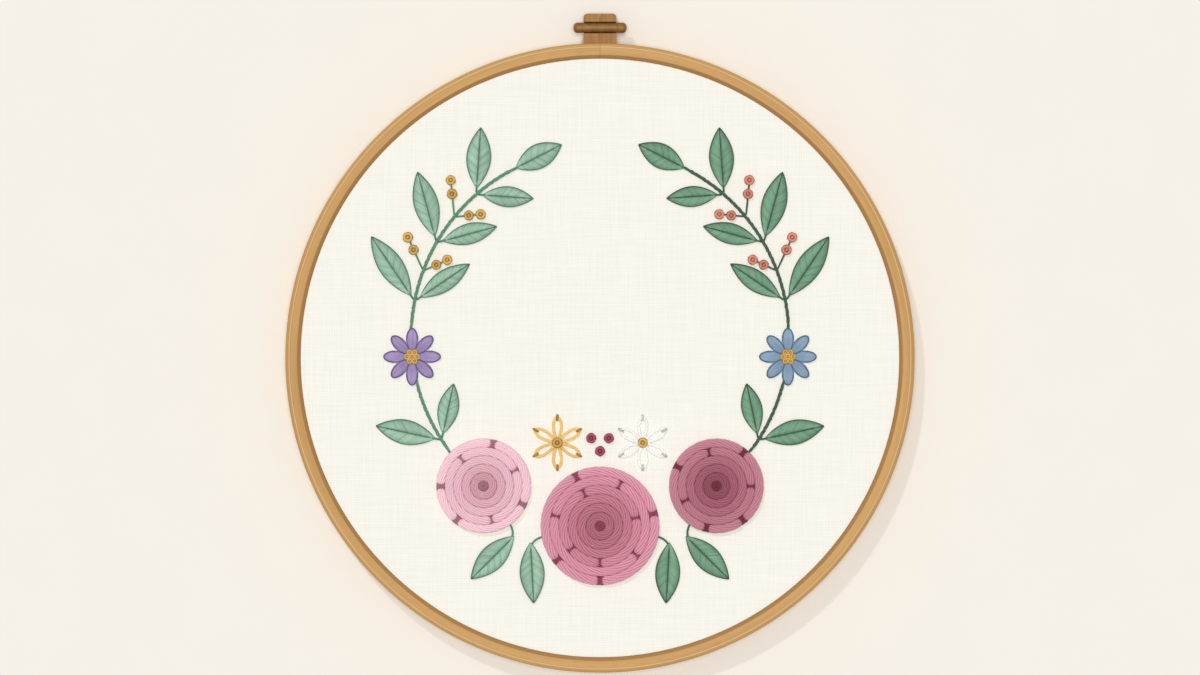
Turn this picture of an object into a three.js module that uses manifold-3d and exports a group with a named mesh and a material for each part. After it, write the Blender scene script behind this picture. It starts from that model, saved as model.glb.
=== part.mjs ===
// Hoop embroidery art: a linen ground held drum-tight between two wooden hoops and worked
// with a wreath of flowers in raised floss. It lies on its back rims: +Z is its front, +Y its top.
// Sizes are in millimetres. The origin is the middle of its footprint, on the plane it lies on.
import * as THREE from "three";
import { mergeVertices } from "three/addons/utils/BufferGeometryUtils.js";
import Module from "manifold-3d";

const wasm = await Module();
wasm.setup();

// Hoop: a nominal 8 inch hoop, so the cloth inside the outer hoop shows as a disc 200 across.
const CLOTH_SHOWN_RADIUS = 100;
const OUTER_HOOP_WALL = 5;
const OUTER_HOOP_DEPTH = 10;
const INNER_HOOP_WALL = 4;
const RIM_CHAMFER = 1;
const RIM_ROUNDING = 1.4;
const BACK_EASING = 0.5;
const HOOP_FACETS = 64;
// Clear space that pieces which touch keep between them.
const GAP = 0.3;

// Ground cloth: one round piece, stretched over the inner hoop and trimmed at its back edge.
const CLOTH_THICKNESS = 1;
const CLOTH_RECESS = 1;
const CLOTH_SHOULDER = 0.8;
const CLOTH_TRIM = 0.6;

// Closing screw and the two lugs that it draws together over the slit in the outer hoop.
const SLIT = 0.3;
const LUG_PAIR_WIDTH = 11;
const LUG_RISE = 10;
const LUG_BACK = 0.8;
const LUG_FRONT = 7.6;
const LUG_CORNER = 1.3;
const SCREW_LENGTH = 18;
const SCREW_RISE = 5.33;
const SCREW_AXIS_Z = 6.4;
const SHANK_RADIUS = 1.6;
const HEAD_RADIUS = 1.75;
const HEAD_DOME = 1.3;
const DRIVER_SLOT_WIDTH = 0.7;
const DRIVER_SLOT_DEPTH = 0.9;
const SCREW_FACETS = 16;
const ARC_STEPS = 6;

// Wreath: angles run in degrees from its foot, up both sides to its open top.
const WREATH_RADIUS = 63;
const WREATH_CENTRE_Y = 7;
const FOOT_ROSE_RADIUS = 19.7;
const SIDE_ROSE_RADIUS = 15.7;
const SIDE_ROSE_ANGLE = 38;
const ROSE_RIM = 1.2;
const ROSE_CROWN = 1.3;
const ROSE_STRAND = 0.9;
const ROSE_UNDER_SHARE = 0.4;
const ROSE_TURNS = 4;
const ROSE_SPOKES = 7;
const ROSE_RINGS = 12;
const ROSE_SECTORS = 4 * ROSE_SPOKES;
const ASTER_RADIUS = 9.7;
const ASTER_ANGLE = 84;
const ASTER_PETALS = 8;
const ASTER_NOTCH_SHARE = 0.6;
const ASTER_PETAL_BLUNTNESS = 0.7;
const ASTER_BASE = 0.5;
const ASTER_PETAL_RISE = 0.8;
const ASTER_EYE_SHARE = 0.38;
const ASTER_EYE_RISE = 0.8;
const ASTER_RINGS = 5;
const ASTER_SECTORS = 6 * ASTER_PETALS;
const DAISY_RADIUS = 8.6;
const DAISY_ANGLE = 22;
const DAISY_CENTRE_RADIUS = 38;
const DAISY_LOOPS = 6;
const LOOP_START = 1;
const LOOP_HALF_WIDTH = 1.6;
const LOOP_TAPER = 0.25;
const LOOP_STRAND_RADIUS = 0.55;
const LOOP_STEPS = 12;
const LOOP_STRAND_SIDES = 5;
const VINE_WIDTH = 1.4;
const VINE_HEIGHT = 1.1;
const VINE_STITCH = 2.6;
const VINE_SWAY = 0.11;
const VINE_DIP_SHARE = 0.86;
const VINE_TOP_ANGLE = 153;
const LEAF_WIDTH = 8;
const LEAF_HEIGHT = 1.1;
const LEAF_EDGE_HEIGHT = 0.4;
const LEAF_END_HEIGHT = 0.5;
const LEAF_END_HALF_WIDTH = 0.3;
const LEAF_BLUNTNESS = 0.85;
const LEAF_DIP_SHARE = 0.82;
const LEAF_MIDRIB_SHARE = 0.75;
const LEAF_SECTIONS = 8;
const LEAF_SLANT = 45;
const INNER_LEAF_SHARE = 0.84;
const SPRIG_WIDTH = 0.9;
const KNOT_RADIUS = 1.8;
const KNOT_HEIGHT = 1.9;
const KNOT_FACETS = 9;

// Leaves that leave the vine in pairs, one outside it and one inside.
const LEAF_PAIRS = [
  { angle: 57, length: 20 },
  { angle: 101, length: 23.5 },
  { angle: 120, length: 22 },
  { angle: 139, length: 20 },
];
const TIP_LEAF_LENGTH = 17;
// Leaves that fan out below the gap between two roses.
const FAN_ANGLE = 21;
const FAN_RADIUS = 72.5;
const FAN_ROOT_SPREAD = 2.4;
const FAN_SPREAD = 24;
const FAN_LEAF_LENGTH = 20;
// Berry sprigs between the leaf pairs, and where their knots sit along each stalk.
const SPRIG_ANGLES = [110.5, 129.5];
const SPRIG_KNOTS = { outer: [7.4, 12], inner: [4.6, 8.6] };
// Three knots above the foot rose, in the wreath's own polar places.
const KNOT_TRIO = [
  { angle: 0, radius: 38 },
  { angle: 5, radius: 33.8 },
  { angle: -5, radius: 33.8 },
];

const COLOURS = {
  hoopWood: 0xc89a65,
  lugWood: 0xa77b4a,
  bronze: 0x91683c,
  linen: 0xfaf7ed,
  pink: 0xd38fa3,
  palePink: 0xecbfca,
  burgundy: 0xa75d71,
  violet: 0x9789bb,
  blue: 0x789cb9,
  gold: 0xdfae51,
  white: 0xfbfaf6,
  coral: 0xdc886f,
  wine: 0x9e4058,
  leafLight: 0x8fb099,
  leafDark: 0x6d9577,
  stemMid: 0x5b876a,
  stemDark: 0x3b5340,
};

// Values worked out from the driving sizes.
const OUTER_RADIUS = CLOTH_SHOWN_RADIUS + OUTER_HOOP_WALL;
const SKIRT_OUTER = CLOTH_SHOWN_RADIUS - GAP;
const SKIRT_INNER = SKIRT_OUTER - CLOTH_THICKNESS;
const INNER_HOOP_RADIUS = SKIRT_INNER - GAP;
const CLOTH_FRONT = OUTER_HOOP_DEPTH - CLOTH_RECESS;
const CLOTH_BACK = CLOTH_FRONT - CLOTH_THICKNESS;
const INNER_HOOP_DEPTH = CLOTH_BACK - GAP;
const STITCH_BASE = CLOTH_FRONT + GAP;
const HOOP_CENTRE_Y = -LUG_RISE / 2;
const SIDES = [
  { name: "left", sign: -1 },
  { name: "right", sign: 1 },
];

const rad = THREE.MathUtils.degToRad;

// A closed solid from position triples and triangle indices.
function solidFrom(positions, triangles) {
  const geometry = new THREE.BufferGeometry();
  geometry.setAttribute("position", new THREE.Float32BufferAttribute(positions, 3));
  geometry.setIndex(triangles);
  return geometry;
}

// A three.js geometry as a manifold solid, for joins and cuts.
function toManifold(geometry) {
  const bare = geometry.clone();
  bare.deleteAttribute("normal");
  bare.deleteAttribute("uv");
  const merged = mergeVertices(bare, 1e-4);
  return new wasm.Manifold(
    new wasm.Mesh({
      numProp: 3,
      vertProperties: new Float32Array(merged.attributes.position.array),
      triVerts: new Uint32Array(merged.index.array),
    }),
  );
}

function fromManifold(manifold) {
  const mesh = manifold.getMesh();
  return solidFrom(Array.from(mesh.vertProperties), Array.from(mesh.triVerts));
}

// Skins a row of equal point loops. An open row is capped at both ends; a ring joins its ends.
function loft(loops, ring = false) {
  const count = loops[0].length;
  const positions = loops.flat().flatMap((p) => [p.x, p.y, p.z]);
  const triangles = [];
  const rows = ring ? loops.length : loops.length - 1;
  for (let i = 0; i < rows; i++) {
    const a = i * count;
    const b = ((i + 1) % loops.length) * count;
    for (let j = 0; j < count; j++) {
      const k = (j + 1) % count;
      triangles.push(a + j, a + k, b + k, a + j, b + k, b + j);
    }
  }
  if (!ring) {
    const last = (loops.length - 1) * count;
    for (let j = 1; j < count - 1; j++) {
      triangles.push(0, j + 1, j, last, last + j, last + j + 1);
    }
  }
  return solidFrom(positions, triangles);
}

// A low mound on a flat base: rings of points from the middle to an outline,
// raised by height(share of the way out, angle).
function mound(rings, sectors, outline, height) {
  const positions = [0, 0, height(0, 0), 0, 0, 0];
  const triangles = [];
  const top = (i, j) => 2 + i * sectors + (j % sectors);
  const foot = (j) => 2 + rings * sectors + (j % sectors);
  for (let i = 0; i <= rings; i++) {
    const share = Math.min(i + 1, rings) / rings;
    for (let j = 0; j < sectors; j++) {
      const angle = (j / sectors) * 2 * Math.PI;
      const reach = outline(angle) * share;
      const z = i < rings ? height(share, angle) : 0;
      positions.push(reach * Math.cos(angle), reach * Math.sin(angle), z);
    }
  }
  for (let j = 0; j < sectors; j++) {
    triangles.push(0, top(0, j), top(0, j + 1), 1, foot(j + 1), foot(j));
    for (let i = 0; i < rings; i++) {
      triangles.push(top(i, j), top(i + 1, j), top(i + 1, j + 1));
      triangles.push(top(i, j), top(i + 1, j + 1), top(i, j + 1));
    }
  }
  return solidFrom(positions, triangles);
}

function material(colour, roughness = 0.8, metalness = 0) {
  return new THREE.MeshStandardMaterial({ color: colour, roughness, metalness });
}

function piece(name, geometry, finish) {
  const mesh = new THREE.Mesh(geometry, finish);
  mesh.name = name;
  return mesh;
}

// Turns a lathe form from its own axis to +Z, with a flat facet at the hoop's top.
function standUp(geometry) {
  return geometry.rotateX(Math.PI / 2).rotateZ(Math.PI / HOOP_FACETS);
}

// A lathe ring about +Z from a closed outline of [radius, z] pairs, listed anticlockwise.
function turned(outline) {
  const closed = [...outline, outline[0]].map(([radius, z]) => new THREE.Vector2(radius, z));
  return standUp(new THREE.LatheGeometry(closed, HOOP_FACETS));
}

// The outer hoop: chamfered inside its front rim, rounded outside, and slit at the top.
function outerHoop() {
  const front = OUTER_HOOP_DEPTH;
  const easing = RIM_ROUNDING * (1 - Math.SQRT1_2);
  const ring = turned([
    [CLOTH_SHOWN_RADIUS, 0],
    [OUTER_RADIUS - BACK_EASING, 0],
    [OUTER_RADIUS, BACK_EASING],
    [OUTER_RADIUS, front - RIM_ROUNDING],
    [OUTER_RADIUS - easing, front - easing],
    [OUTER_RADIUS - RIM_ROUNDING, front],
    [CLOTH_SHOWN_RADIUS + RIM_CHAMFER, front],
    [CLOTH_SHOWN_RADIUS, front - RIM_CHAMFER],
  ]);
  const cutter = new THREE.BoxGeometry(SLIT, OUTER_HOOP_WALL * 2, OUTER_HOOP_DEPTH * 2);
  cutter.translate(0, OUTER_RADIUS - OUTER_HOOP_WALL / 2, OUTER_HOOP_DEPTH / 2);
  return fromManifold(toManifold(ring).subtract(toManifold(cutter)));
}

function innerHoop() {
  const inside = INNER_HOOP_RADIUS - INNER_HOOP_WALL;
  return turned([
    [inside, 0],
    [INNER_HOOP_RADIUS, 0],
    [INNER_HOOP_RADIUS, INNER_HOOP_DEPTH - BACK_EASING],
    [INNER_HOOP_RADIUS - BACK_EASING, INNER_HOOP_DEPTH],
    [inside, INNER_HOOP_DEPTH],
  ]);
}

// The cloth is one sheet: a flat front, a rounded shoulder, and a skirt between the hoops.
function groundCloth() {
  const shoulderInner = CLOTH_SHOULDER - GAP;
  const profile = [
    [0, CLOTH_BACK],
    [SKIRT_INNER - shoulderInner, CLOTH_BACK],
    [SKIRT_INNER, CLOTH_BACK - shoulderInner],
    [SKIRT_INNER, CLOTH_TRIM],
    [SKIRT_OUTER, CLOTH_TRIM],
    [SKIRT_OUTER, CLOTH_FRONT - CLOTH_SHOULDER],
    [SKIRT_OUTER - CLOTH_SHOULDER, CLOTH_FRONT],
    [0, CLOTH_FRONT],
  ].map(([radius, z]) => new THREE.Vector2(radius, z));
  return standUp(new THREE.LatheGeometry(profile, HOOP_FACETS));
}

// One lug: its front outline, with a rounded outer corner, met with its side outline,
// which has the channel for the screw, open to the front. The side outline has a margin all round.
function lug(sign) {
  const inner = SLIT / 2;
  const outer = LUG_PAIR_WIDTH / 2;
  const foot = OUTER_RADIUS + GAP;
  const head = OUTER_RADIUS + LUG_RISE;
  const front = new THREE.Shape();
  front.moveTo(inner, foot);
  front.lineTo(outer, foot);
  front.lineTo(outer, head - LUG_CORNER);
  front.absarc(outer - LUG_CORNER, head - LUG_CORNER, LUG_CORNER, 0, Math.PI / 2);
  front.lineTo(inner, head);
  const plate = new THREE.ExtrudeGeometry(front, {
    depth: LUG_FRONT - LUG_BACK,
    bevelEnabled: false,
    curveSegments: ARC_STEPS,
  }).translate(0, 0, LUG_BACK);

  const axisY = OUTER_RADIUS + SCREW_RISE;
  const channel = SHANK_RADIUS + GAP;
  const margin = 1;
  const side = new THREE.Shape();
  side.moveTo(foot - margin, LUG_BACK - margin);
  side.lineTo(head + margin, LUG_BACK - margin);
  side.lineTo(head + margin, LUG_FRONT + margin);
  side.lineTo(axisY + channel, LUG_FRONT + margin);
  side.absarc(axisY, SCREW_AXIS_Z, channel, 0, Math.PI, true);
  side.lineTo(axisY - channel, LUG_FRONT + margin);
  side.lineTo(foot - margin, LUG_FRONT + margin);
  const section = new THREE.ExtrudeGeometry(side, {
    depth: outer + margin,
    bevelEnabled: false,
    curveSegments: ARC_STEPS,
  });
  // The section's x and y lie along the part's Y and Z, and its depth along X.
  section.applyMatrix4(
    new THREE.Matrix4().set(0, 0, 1, 0, 1, 0, 0, 0, 0, 1, 0, 0, 0, 0, 0, 1),
  );
  const right = toManifold(plate).intersect(toManifold(section));
  return fromManifold(sign > 0 ? right : right.mirror([1, 0, 0]));
}

// The closing screw, along X: a slotted head, a plain shank and a domed end.
function closingScrew() {
  const half = SCREW_LENGTH / 2;
  const shoulder = LUG_PAIR_WIDTH / 2 + GAP;
  const dome = [90, 45, 0].map((angle) => [
    HEAD_RADIUS * Math.cos(rad(angle)),
    half - HEAD_DOME * (1 - Math.sin(rad(angle))),
  ]);
  dome[0][0] = 0;
  const farHalf = [[SHANK_RADIUS, shoulder], [HEAD_RADIUS, shoulder], ...dome.toReversed()];
  const headHalf = farHalf.map(([radius, along]) => [radius, -along]).toReversed();
  const profile = [...headHalf, ...farHalf].map(([radius, along]) => new THREE.Vector2(radius, along));
  const body = new THREE.LatheGeometry(profile, SCREW_FACETS).rotateZ(-Math.PI / 2);
  const slot = new THREE.BoxGeometry(DRIVER_SLOT_DEPTH * 2, HEAD_RADIUS * 3, DRIVER_SLOT_WIDTH);
  slot.translate(-half, 0, 0);
  return fromManifold(toManifold(body).subtract(toManifold(slot)));
}

// A rose worked round spokes: the strand's turns stand up as ridges that pass over
// and under the spokes in turn, on a low crown.
function wovenRose(radius) {
  const height = (share, angle) => {
    const turn = share * ROSE_TURNS - angle / (2 * Math.PI);
    const lap = Math.floor(turn);
    const strand = Math.sin(Math.PI * (turn - lap));
    const over = 0.5 + 0.5 * Math.cos((ROSE_SPOKES * (angle + 2 * Math.PI * lap)) / 2);
    const ridge = ROSE_STRAND * strand * (ROSE_UNDER_SHARE + (1 - ROSE_UNDER_SHARE) * over);
    return ROSE_RIM + ROSE_CROWN * (1 - share * share) + ridge;
  };
  return mound(ROSE_RINGS, ROSE_SECTORS, () => radius, height);
}

// An aster: satin petals round a raised eye.
function aster() {
  const petal = (angle) => Math.abs(Math.cos((ASTER_PETALS * angle) / 2));
  const outline = (angle) => {
    const reach = Math.pow(petal(angle), ASTER_PETAL_BLUNTNESS);
    return ASTER_RADIUS * (ASTER_NOTCH_SHARE + (1 - ASTER_NOTCH_SHARE) * reach);
  };
  const height = (share, angle) => {
    const eye = share < ASTER_EYE_SHARE ? ASTER_EYE_RISE * (1 - share / 2) : 0;
    const swell = Math.sin(Math.PI * (0.25 + 0.6 * share));
    return ASTER_BASE + ASTER_PETAL_RISE * petal(angle) * swell + eye;
  };
  return mound(ASTER_RINGS, ASTER_SECTORS, outline, height);
}

// A daisy of open loops, each drawn tight at the middle, round a knot.
function loopDaisy() {
  const halfLength = (DAISY_RADIUS - LOOP_START) / 2;
  let whole = toManifold(knot());
  for (let i = 0; i < DAISY_LOOPS; i++) {
    const heading = rad(90) + (i / DAISY_LOOPS) * 2 * Math.PI;
    const loops = [];
    for (let step = 0; step < LOOP_STEPS; step++) {
      const t = (step / LOOP_STEPS) * 2 * Math.PI;
      const along = LOOP_START + halfLength * (1 - Math.cos(t));
      const taper = 1 - LOOP_TAPER - LOOP_TAPER * Math.cos(t);
      const across = LOOP_HALF_WIDTH * Math.sin(t) * taper;
      const way = new THREE.Vector2(halfLength * Math.sin(t), LOOP_HALF_WIDTH * Math.cos(t));
      way.normalize();
      const section = [];
      for (let side = 0; side < LOOP_STRAND_SIDES; side++) {
        const a = (-side / LOOP_STRAND_SIDES) * 2 * Math.PI;
        const out = LOOP_STRAND_RADIUS * Math.cos(a);
        const z = LOOP_STRAND_RADIUS * (1 + Math.sin(a));
        section.push(new THREE.Vector3(along + way.y * out, across - way.x * out, z));
      }
      loops.push(section);
    }
    whole = whole.add(toManifold(loft(loops, true).rotateZ(heading)));
  }
  return fromManifold(whole);
}

// A French knot: a low bun with a dimple.
function knot() {
  const profile = [
    [0, 0],
    [KNOT_RADIUS * 0.8, 0],
    [KNOT_RADIUS, KNOT_HEIGHT * 0.4],
    [KNOT_RADIUS * 0.7, KNOT_HEIGHT],
    [0, KNOT_HEIGHT * 0.75],
  ].map(([radius, z]) => new THREE.Vector2(radius, z));
  return new THREE.LatheGeometry(profile, KNOT_FACETS).rotateX(Math.PI / 2);
}

// A leaf in slanting stitches that meet at a sunk midrib, from its stalk end along +X.
function leaf(length, width = LEAF_WIDTH) {
  const loops = [];
  for (let i = 0; i <= LEAF_SECTIONS; i++) {
    const share = i / LEAF_SECTIONS;
    const swell = Math.sin(Math.PI * share);
    const spread = (width / 2 - LEAF_END_HALF_WIDTH) * Math.pow(swell, LEAF_BLUNTNESS);
    const half = LEAF_END_HALF_WIDTH + spread;
    const ridge = i % 2 ? 1 : LEAF_DIP_SHARE;
    const rise = LEAF_END_HEIGHT + (LEAF_HEIGHT - LEAF_END_HEIGHT) * swell * ridge;
    const section = [
      { y: -half, z: 0 },
      { y: half, z: 0 },
      { y: half, z: LEAF_EDGE_HEIGHT },
      { y: half / 2, z: rise },
      { y: 0, z: rise * LEAF_MIDRIB_SHARE },
      { y: -half / 2, z: rise },
      { y: -half, z: LEAF_EDGE_HEIGHT },
    ];
    loops.push(section.map(({ y, z }) => new THREE.Vector3(length * share, y, z)));
  }
  return loft(loops);
}

// A point of the wreath, and the heading there of someone climbing its vine.
function onWreath(sign, angle, radius = WREATH_RADIUS) {
  const a = rad(angle);
  return new THREE.Vector3(sign * radius * Math.sin(a), -radius * Math.cos(a), 0);
}

function climb(sign, angle) {
  return sign > 0 ? rad(angle) : Math.PI - rad(angle);
}

// The vine's section, in shares of its width and height.
const VINE_SECTION = [
  { across: -0.5, up: 0 },
  { across: 0.5, up: 0 },
  { across: 0.42, up: 0.7 },
  { across: 0, up: 1 },
  { across: -0.42, up: 0.7 },
];

// The vine in stem stitch: a low cord whose stitches step a little to and fro.
function vine(sign, from, to) {
  const length = rad(to - from) * WREATH_RADIUS;
  const stitches = Math.round(length / VINE_STITCH);
  const loops = [];
  for (let i = 0; i <= stitches; i++) {
    const angle = from + ((to - from) * i) / stitches;
    const out = rad(angle);
    const sway = i % 2 ? VINE_SWAY : -VINE_SWAY;
    const dip = i % 2 ? 1 : VINE_DIP_SHARE;
    const section = VINE_SECTION.map(({ across, up }) => {
      const radius = WREATH_RADIUS + sway + VINE_WIDTH * across;
      const z = VINE_HEIGHT * up * dip;
      return new THREE.Vector3(sign * radius * Math.sin(out), -radius * Math.cos(out), z);
    });
    loops.push(sign > 0 ? section : section.reverse());
  }
  return loft(loops.reverse());
}

// A berry sprig along +X: a straight stalk with knots sewn over it, the last at its end.
function berrySprig(knots) {
  const start = VINE_WIDTH / 2 + GAP * 2;
  const end = knots.at(-1);
  const stalk = new THREE.BoxGeometry(end - start, SPRIG_WIDTH, SPRIG_WIDTH);
  stalk.translate((end + start) / 2, 0, SPRIG_WIDTH / 2);
  let whole = toManifold(stalk);
  for (const along of knots) {
    whole = whole.add(toManifold(knot().translate(along, 0, 0)));
  }
  return fromManifold(whole);
}

// Assembly: the wreath sits a little above the hoop's centre.
const hoopArt = new THREE.Group();
hoopArt.position.y = HOOP_CENTRE_Y;
const wreath = new THREE.Group();
wreath.position.set(0, WREATH_CENTRE_Y, STITCH_BASE);
hoopArt.add(wreath);

function addHoopAndCloth() {
  hoopArt.add(piece("outer_hoop", outerHoop(), material(COLOURS.hoopWood, 0.55)));
  hoopArt.add(piece("inner_hoop", innerHoop(), material(COLOURS.hoopWood, 0.6)));
  hoopArt.add(piece("ground_cloth", groundCloth(), material(COLOURS.linen, 0.95)));
  for (const { name, sign } of SIDES) {
    hoopArt.add(piece(`lug_${name}`, lug(sign), material(COLOURS.lugWood, 0.55)));
  }
  const screw = piece("closing_screw", closingScrew(), material(COLOURS.bronze, 0.4, 0.9));
  screw.position.set(0, OUTER_RADIUS + SCREW_RISE, SCREW_AXIS_Z);
  hoopArt.add(screw);
}

function addFlowers() {
  const footRose = piece("rose_foot", wovenRose(FOOT_ROSE_RADIUS), material(COLOURS.pink));
  footRose.position.copy(onWreath(1, 0));
  wreath.add(footRose);
  const shades = {
    left: { rose: COLOURS.palePink, aster: COLOURS.violet, daisy: COLOURS.gold },
    right: { rose: COLOURS.burgundy, aster: COLOURS.blue, daisy: COLOURS.white },
  };
  for (const { name, sign } of SIDES) {
    const rose = piece(`rose_${name}`, wovenRose(SIDE_ROSE_RADIUS), material(shades[name].rose));
    rose.position.copy(onWreath(sign, SIDE_ROSE_ANGLE));
    const star = piece(`aster_${name}`, aster(), material(shades[name].aster));
    star.position.copy(onWreath(sign, ASTER_ANGLE));
    const daisy = piece(`daisy_${name}`, loopDaisy(), material(shades[name].daisy));
    daisy.position.copy(onWreath(sign, DAISY_ANGLE, DAISY_CENTRE_RADIUS));
    wreath.add(rose, star, daisy);
  }
  KNOT_TRIO.forEach(({ angle, radius }, i) => {
    const bead = piece(`knot_${i + 1}`, knot(), material(COLOURS.wine));
    bead.position.copy(onWreath(1, angle, radius));
    wreath.add(bead);
  });
}

// Degrees of the wreath that a round flower on its line takes up, with room beside it.
function halfAngle(radius) {
  return THREE.MathUtils.radToDeg(Math.asin((radius + GAP * 2) / WREATH_RADIUS));
}

function addVines() {
  const roseTop = SIDE_ROSE_ANGLE + halfAngle(SIDE_ROSE_RADIUS);
  const asterHalf = halfAngle(ASTER_RADIUS);
  const runs = [
    { run: "low", from: roseTop, to: ASTER_ANGLE - asterHalf },
    { run: "high", from: ASTER_ANGLE + asterHalf, to: VINE_TOP_ANGLE },
  ];
  for (const { name, sign } of SIDES) {
    const finish = material(sign < 0 ? COLOURS.stemMid : COLOURS.stemDark);
    for (const { run, from, to } of runs) {
      wreath.add(piece(`vine_${name}_${run}`, vine(sign, from, to), finish));
    }
  }
}

// Sets a leaf or sprig at a point of the wreath, turned to a heading and moved on along it.
function setAlong(mesh, point, heading, offset) {
  mesh.position.copy(point);
  mesh.position.x += offset * Math.cos(heading);
  mesh.position.y += offset * Math.sin(heading);
  mesh.rotation.z = heading;
  wreath.add(mesh);
}

function addLeavesAndSprigs() {
  const besideVine = VINE_WIDTH / 2 + GAP * 3;
  for (const { name, sign } of SIDES) {
    const green = material(sign < 0 ? COLOURS.leafLight : COLOURS.leafDark);
    const berry = material(sign < 0 ? COLOURS.gold : COLOURS.coral);
    const flanks = [
      { flank: "outer", turn: -sign, share: 1 },
      { flank: "inner", turn: sign, share: INNER_LEAF_SHARE },
    ];
    for (const { flank, turn, share } of flanks) {
      LEAF_PAIRS.forEach(({ angle, length }, i) => {
        const form = leaf(length * share, LEAF_WIDTH * share);
        const blade = piece(`leaf_${name}_${flank}_${i + 1}`, form, green);
        const heading = climb(sign, angle) + turn * rad(LEAF_SLANT);
        setAlong(blade, onWreath(sign, angle), heading, besideVine / Math.sin(rad(LEAF_SLANT)));
      });
      SPRIG_ANGLES.forEach((angle, i) => {
        const form = berrySprig(SPRIG_KNOTS[flank]);
        const sprig = piece(`sprig_${name}_${flank}_${i + 1}`, form, berry);
        const heading = climb(sign, angle) + turn * rad(LEAF_SLANT);
        setAlong(sprig, onWreath(sign, angle), heading, GAP);
      });
    }
    const tip = piece(`leaf_${name}_tip`, leaf(TIP_LEAF_LENGTH), green);
    setAlong(tip, onWreath(sign, VINE_TOP_ANGLE), climb(sign, VINE_TOP_ANGLE), GAP * 2);
    for (const spread of [-1, 1]) {
      const blade = piece(`leaf_${name}_fan_${spread < 0 ? 1 : 2}`, leaf(FAN_LEAF_LENGTH), green);
      const outward = climb(sign, FAN_ANGLE) - sign * rad(90);
      const root = onWreath(sign, FAN_ANGLE + spread * FAN_ROOT_SPREAD, FAN_RADIUS);
      setAlong(blade, root, outward + sign * spread * rad(FAN_SPREAD), 0);
    }
  }
}

addHoopAndCloth();
addFlowers();
addVines();
addLeavesAndSprigs();

const part = new THREE.Group();
part.add(hoopArt);
export default part;
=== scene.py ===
# Hoop embroidery art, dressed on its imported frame: a linen ground in a wooden hoop,
# worked with a wreath of flowers in stranded floss.
from math import acos, asin, atan2, copysign, cos, pi, radians, sin, sqrt, tau

import bmesh
import bpy
import numpy as np
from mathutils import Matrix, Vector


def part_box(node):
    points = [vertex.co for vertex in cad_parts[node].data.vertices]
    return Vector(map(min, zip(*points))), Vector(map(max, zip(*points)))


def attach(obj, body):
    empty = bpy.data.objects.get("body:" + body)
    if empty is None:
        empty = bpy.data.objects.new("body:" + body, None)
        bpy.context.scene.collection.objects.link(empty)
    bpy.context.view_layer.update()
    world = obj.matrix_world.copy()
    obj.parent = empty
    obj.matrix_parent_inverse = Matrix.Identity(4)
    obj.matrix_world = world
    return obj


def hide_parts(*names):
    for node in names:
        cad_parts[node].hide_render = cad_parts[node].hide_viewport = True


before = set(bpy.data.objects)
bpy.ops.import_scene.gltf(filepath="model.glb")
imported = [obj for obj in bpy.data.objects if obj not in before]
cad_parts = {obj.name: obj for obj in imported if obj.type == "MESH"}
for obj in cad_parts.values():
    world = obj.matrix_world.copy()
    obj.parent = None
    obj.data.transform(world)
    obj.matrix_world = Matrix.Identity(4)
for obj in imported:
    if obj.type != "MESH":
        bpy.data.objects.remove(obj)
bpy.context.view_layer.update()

# View and light
# The piece lies face up on a pale matt table, seen square on through a long lens. A weak key light
# from the upper left throws a short shadow to the lower right, under a broad lamp straight above and
# an even white fill.
MM = 0.001
PHOTO_WIDTH_PX = 1200
PHOTO_MIDDLE_ROW_PX = 337.5
PHOTO_HOOP_ROW_PX = 358
PHOTO_PX_PER_MM = 3
LENS_MM = 135
SHADOW_SHIFT = (4.5 * MM, -7.7 * MM, -10 * MM)
KEY_SHARE = 0.12
KEY_SOFTNESS = radians(3)
TOP_SHARE = 0.5
TOP_SOFTNESS = radians(24)
FILL_SHARE = 0.386
FILL_COLOUR = (1, 0.995, 0.985, 1)
TABLE_HALF_WIDTH = 4.0
TABLE_CORNERS = ((-1, -1), (1, -1), (1, 1), (-1, 1))
TABLE_MOTTLE = (40, 40, 40)
TABLE_TONES = ((245, 240, 230), (247, 242, 232))

hoop_low, hoop_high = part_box("outer_hoop")
HOOP_Y = (hoop_low.y + hoop_high.y) / 2
HOOP_FRONT = hoop_high.z


def tint(red, green, blue):
    """A screen colour, 0 to 255 a channel, as the linear colour that a shader takes."""
    shares = [channel / 255 for channel in (red, green, blue)]
    linear = [s / 12.92 if s <= 0.04045 else ((s + 0.055) / 1.055) ** 2.4 for s in shares]
    return (*linear, 1.0)


def join(tree, value, socket):
    """Links a socket, or sets a plain value, on another node's input."""
    if isinstance(value, bpy.types.NodeSocket):
        tree.links.new(value, socket)
    else:
        socket.default_value = value


def add(tree, kind, inputs=None, **settings):
    """A node of a tree with its settings and inputs."""
    made = tree.nodes.new(kind)
    for key, value in settings.items():
        setattr(made, key, value)
    for key, value in (inputs or {}).items():
        join(tree, value, made.inputs[key])
    return made


def new_finish(name, plain):
    """A material with its tree and its surface shader, on which the plain values are set."""
    finish = bpy.data.materials.new(name)
    finish.use_nodes = True
    shader = finish.node_tree.nodes["Principled BSDF"]
    for label, value in plain.items():
        shader.inputs[label].default_value = value
    return finish, finish.node_tree, shader


def blend_of(tree, share, *colours):
    """A colour between two, each a socket or a screen colour, by a share from 0 to 1. A Mix node's
    colours are its inputs 6 and 7 and its output 2."""
    low, high = (c if isinstance(c, bpy.types.NodeSocket) else tint(*c) for c in colours)
    mixed = add(tree, "ShaderNodeMix", {"Factor": share, 6: low, 7: high}, data_type="RGBA")
    return mixed.outputs[2]


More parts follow.
